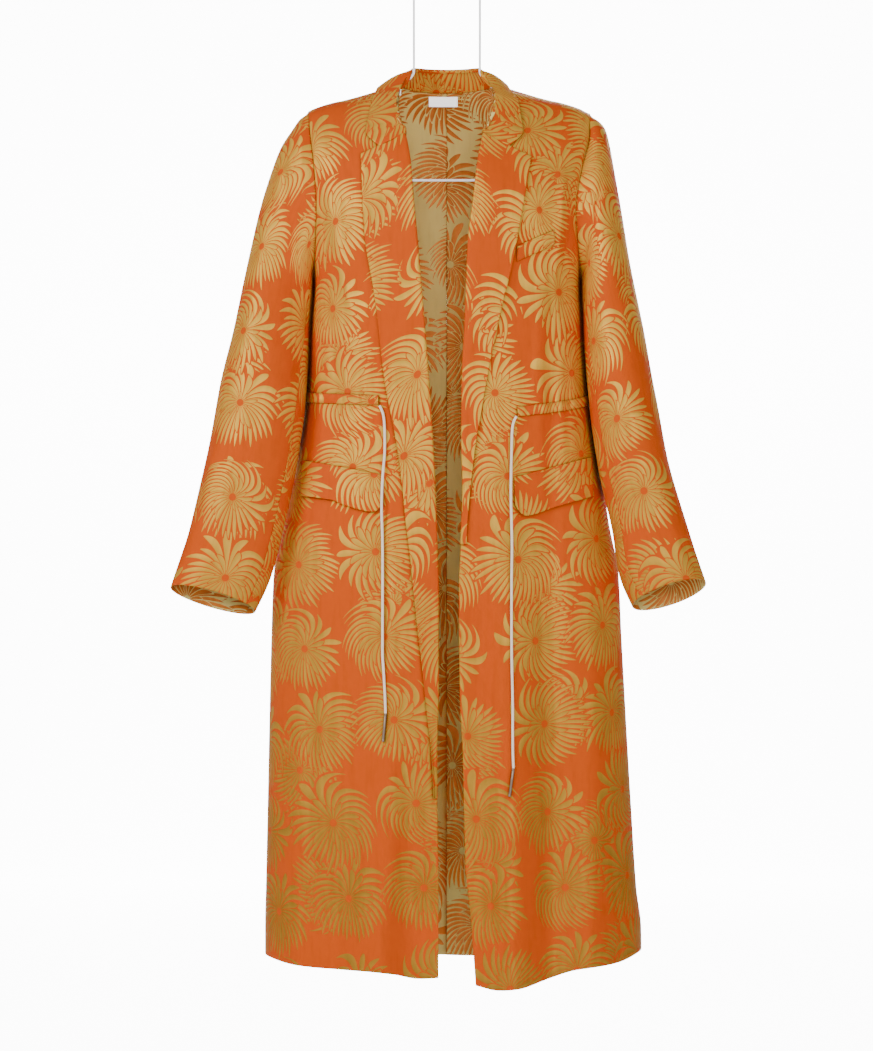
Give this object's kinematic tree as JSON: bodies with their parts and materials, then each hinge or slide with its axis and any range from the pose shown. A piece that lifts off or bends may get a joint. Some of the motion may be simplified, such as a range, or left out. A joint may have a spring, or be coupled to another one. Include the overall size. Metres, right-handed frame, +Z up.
{
  "type": "long lapel coat on a slim rod hanger",
  "caption": "Long open satin coat with notched lapels, a corded waist casing and pocket flaps, hung on a slim white rod hanger.",
  "frame": {"origin": "middle of the top bar of the hanger, at its upper side, where the coat is hung up", "axes": "+Z up, the coat's front faces -Y, +X towards the viewer's right, which is the wearer's left"},
  "size_m": [0.68, 0.2552, 1.2649],
  "materials": {
    "cloth": "orange satin jacquard with golden flowers",
    "cord": "pale matte braid",
    "aglet": "dull pewter",
    "label": "white woven",
    "rod": "gloss white"
  },
  "bodies": {
    "root": {"front_right": "cloth", "back_right": "cloth", "top_sleeve_right": "cloth", "under_sleeve_right": "cloth", "lapel_right": "cloth", "pocket_flap_right": "cloth", "casing_front_right": "cloth", "front_left": "cloth", "back_left": "cloth", "top_sleeve_left": "cloth", "under_sleeve_left": "cloth", "lapel_left": "cloth", "pocket_flap_left": "cloth", "casing_front_left": "cloth", "breast_welt": "cloth", "casing_back": "cloth", "collar_fall": "cloth", "collar_stand": "cloth", "hanger_top_bar": "rod", "hanger_crossbar": "rod", "hanger_upright_right": "rod", "hanger_arm_right": "rod", "hanger_upright_left": "rod", "hanger_arm_left": "rod", "cord_right": "cord", "cord_left": "cord", "aglet_right": "aglet", "aglet_left": "aglet", "neck_label": "label"}
  },
  "joints": []
}
